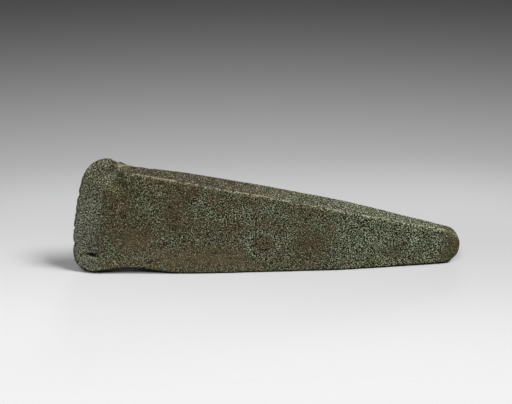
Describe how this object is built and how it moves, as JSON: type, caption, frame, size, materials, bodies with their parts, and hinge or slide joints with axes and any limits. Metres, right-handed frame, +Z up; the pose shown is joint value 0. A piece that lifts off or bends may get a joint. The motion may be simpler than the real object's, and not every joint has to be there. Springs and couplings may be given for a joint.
{
  "type": "flat axe head",
  "caption": "Cast and hammered copper-alloy flat axe head with a flared, bevelled cutting edge, tapered sides and a thinned butt that sits in a split haft.",
  "frame": {"origin": "middle of the bounding box, on the ground that the lower side lies on", "axes": "+X from the cutting edge to the butt, +Y through the broad faces to the back one, +Z up, across the lower and upper sides"},
  "size_m": [0.1504, 0.0122, 0.0463],
  "materials": {
    "patinated_bronze": "matte"
  },
  "bodies": {
    "root": {"axe_head": "patinated_bronze"}
  },
  "joints": []
}
